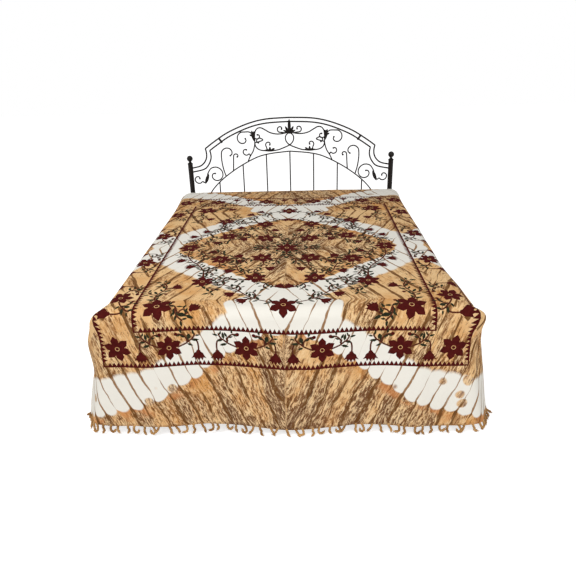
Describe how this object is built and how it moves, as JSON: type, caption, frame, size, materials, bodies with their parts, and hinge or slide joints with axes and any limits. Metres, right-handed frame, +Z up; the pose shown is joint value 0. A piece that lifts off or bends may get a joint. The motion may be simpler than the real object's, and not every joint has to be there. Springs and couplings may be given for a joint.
{
  "type": "batik bedspread on iron bed",
  "caption": "Batik bedspread with a bordered flower print and fringed ends, draped over a mattress on a black iron bed with a scrolled headboard.",
  "frame": {"origin": "on the floor, at the middle of the bed's outline seen from above", "axes": "+Z up; +Y from the foot of the bed towards the headboard; +X to the right seen from the foot"},
  "size_m": [2.047, 2.1854, 1.1935],
  "materials": {
    "batik": "matt cotton",
    "fringe": "matt cotton",
    "ticking": "matt cotton",
    "iron": "satin dark bronze paint",
    "pine": "planed"
  },
  "bodies": {
    "root": {"arch_collar_left": "iron", "arch_collar_right": "iron", "bedspread": "batik", "finial_left": "iron", "finial_right": "iron", "foot_fringe": "fringe", "foot_leg_left": "iron", "foot_leg_right": "iron", "foot_rail": "iron", "head_fringe": "fringe", "head_post_left": "iron", "head_post_right": "iron", "head_rail_lower": "iron", "head_rail_upper": "iron", "inner_arch_left": "iron", "inner_arch_right": "iron", "mattress": "ticking", "outer_arch_left": "iron", "outer_arch_right": "iron", "pillow_arch_left": "iron", "pillow_arch_right": "iron", "scroll_crown": "iron", "scroll_inner_left": "iron", "scroll_inner_right": "iron", "scroll_post_left": "iron", "scroll_post_right": "iron", "scroll_side_left": "iron", "scroll_side_right": "iron", "side_rail_left": "iron", "side_rail_right": "iron", "slat_1": "pine", "slat_2": "pine", "slat_3": "pine", "slat_4": "pine", "slat_5": "pine", "slat_6": "pine", "slat_7": "pine", "slat_8": "pine", "slat_9": "pine", "spindle_left_1": "iron", "spindle_left_2": "iron", "spindle_left_3": "iron", "spindle_middle": "iron", "spindle_right_1": "iron", "spindle_right_2": "iron", "spindle_right_3": "iron"}
  },
  "joints": []
}
